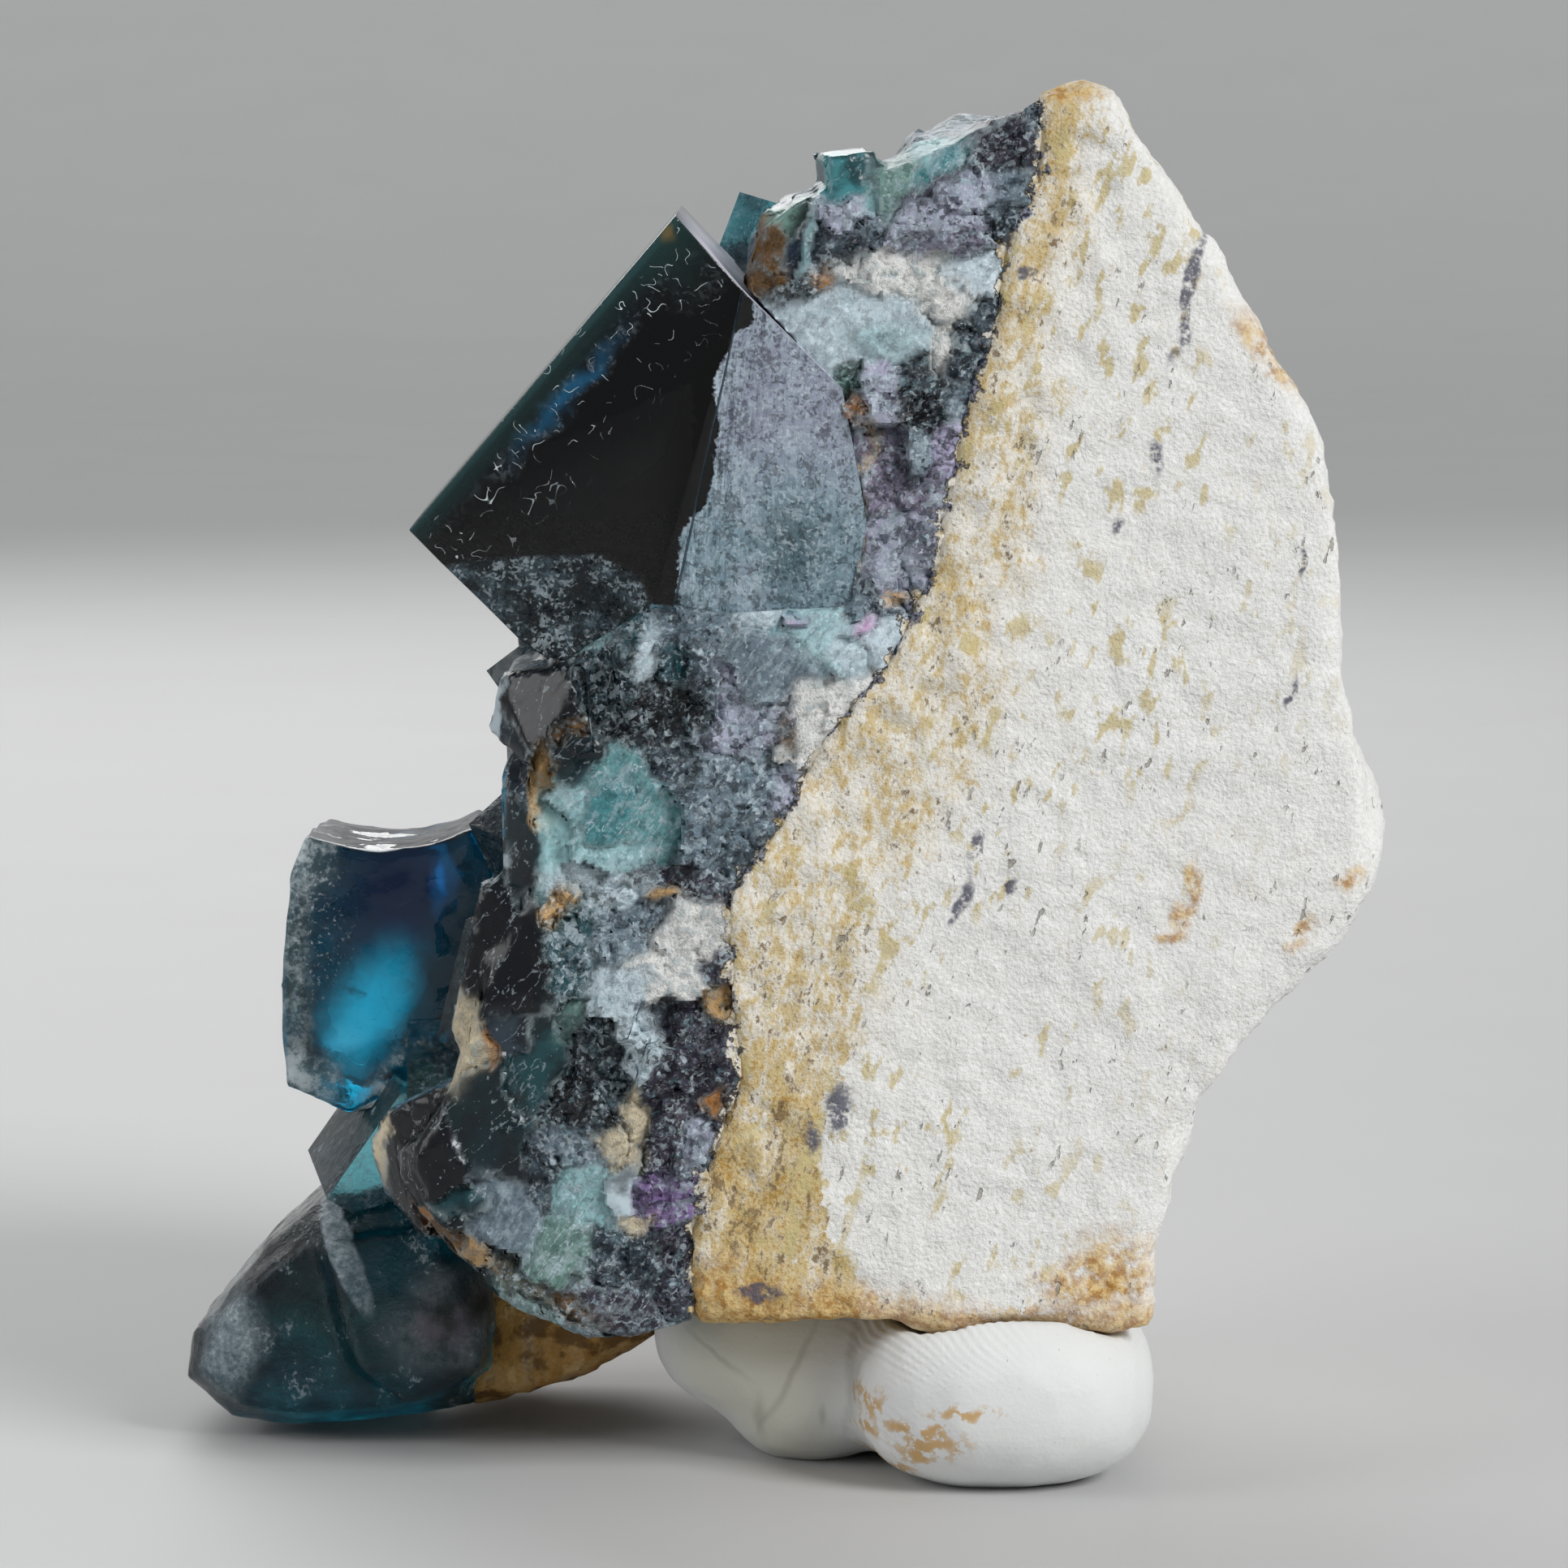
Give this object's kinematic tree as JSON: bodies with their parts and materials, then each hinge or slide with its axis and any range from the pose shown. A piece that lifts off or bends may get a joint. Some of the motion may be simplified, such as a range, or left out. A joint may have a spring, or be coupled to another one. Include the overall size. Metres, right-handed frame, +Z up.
{
  "type": "fluorite on matrix",
  "caption": "Broken plate of dark teal and blue fluorite cubes on pale ochre-stained rock, standing upright on a pressed lump of putty, for display.",
  "frame": {"origin": "bottom centre of the whole specimen with its putty, on the surface it stands on", "axes": "+Z up, -Y toward the broken edge that is shown, -X toward the crystal side"},
  "size_m": [0.0836, 0.0654, 0.0952],
  "materials": {
    "matrix_rock": "rough, grainy and pitted, with an ochre weathered band along the crust",
    "fluorite_crust": "sugary and broken, dark teal and grey with aqua and violet patches",
    "dark_crystal": "glassy, nearly black in the middle, teal at its edges, frosted where chipped",
    "blue_crystal": "glassy and see-through blue with frosted edges",
    "teal_crystal": "glassy dark teal with worn, frosted edges",
    "putty": "matt, finger-pressed, with a few ochre crumbs"
  },
  "bodies": {
    "root": {"matrix_rock": "matrix_rock", "fluorite_crust": "fluorite_crust", "large_cube_crystal": "dark_crystal", "blue_crystal": "blue_crystal", "lower_crystals": "teal_crystal", "putty_rest": "putty"}
  },
  "joints": []
}
